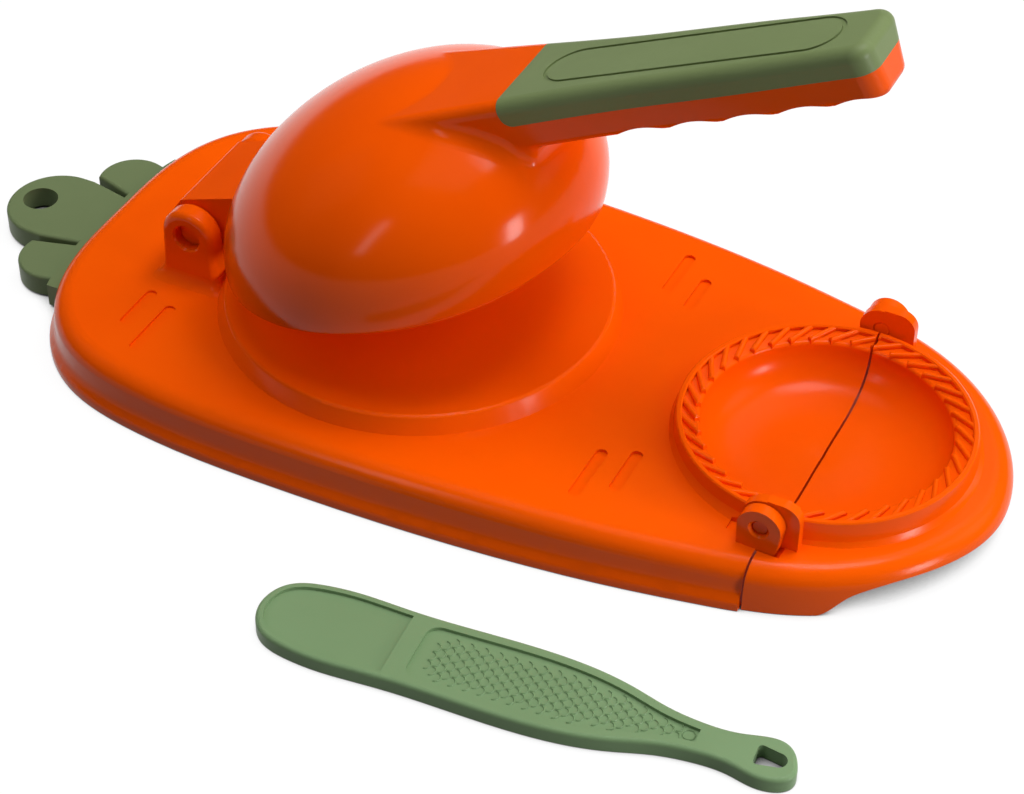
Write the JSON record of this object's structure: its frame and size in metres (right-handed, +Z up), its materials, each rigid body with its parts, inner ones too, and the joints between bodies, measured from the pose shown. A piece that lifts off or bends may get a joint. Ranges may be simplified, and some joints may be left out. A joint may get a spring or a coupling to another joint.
{
  "type": "dumpling press",
  "caption": "Carrot-shaped dumpling press with a hinged dome that flattens dough on a round seat, a folding crimp mould at the nose, a leaf-shaped hanging tab and a loose filling spatula.",
  "frame": {"origin": "on the table under the centre of the round seat", "axes": "+X along the press from the leaf tab to the folding nose, +Y across it, away from the side where the spatula lies, +Z up"},
  "size_m": [0.3351, 0.2099, 0.1531],
  "materials": {
    "orange_plastic": "glossy",
    "leaf_plastic": "matte",
    "green_plastic": "satin"
  },
  "bodies": {
    "base": {"base_shell": "orange_plastic", "leaf_tab": "leaf_plastic", "press_hinge_rod": "orange_plastic", "nose_hinge_pin_near": "orange_plastic", "nose_hinge_pin_far": "orange_plastic"},
    "press": {"press_dome": "orange_plastic", "press_plate": "orange_plastic", "handle_grip": "green_plastic"},
    "nose": {"nose_mould": "orange_plastic"},
    "spatula": {"spatula": "green_plastic"}
  },
  "joints": [
    {"name": "press_hinge", "type": "hinge", "parent": "base", "child": "press", "pos_m": [-0.0665, 0, 0.0334], "axis": [0, -1, 0], "range_deg": [-15.5, 85]},
    {"name": "nose_hinge", "type": "hinge", "parent": "base", "child": "nose", "pos_m": [0.1312, 0, 0.022], "axis": [0, -1, 0], "range_deg": [0, 180]},
    {"name": "spatula_lift", "type": "slide", "parent": "base", "child": "spatula", "axis": [0, 0, 1], "range_m": [0, 0.15]}
  ]
}
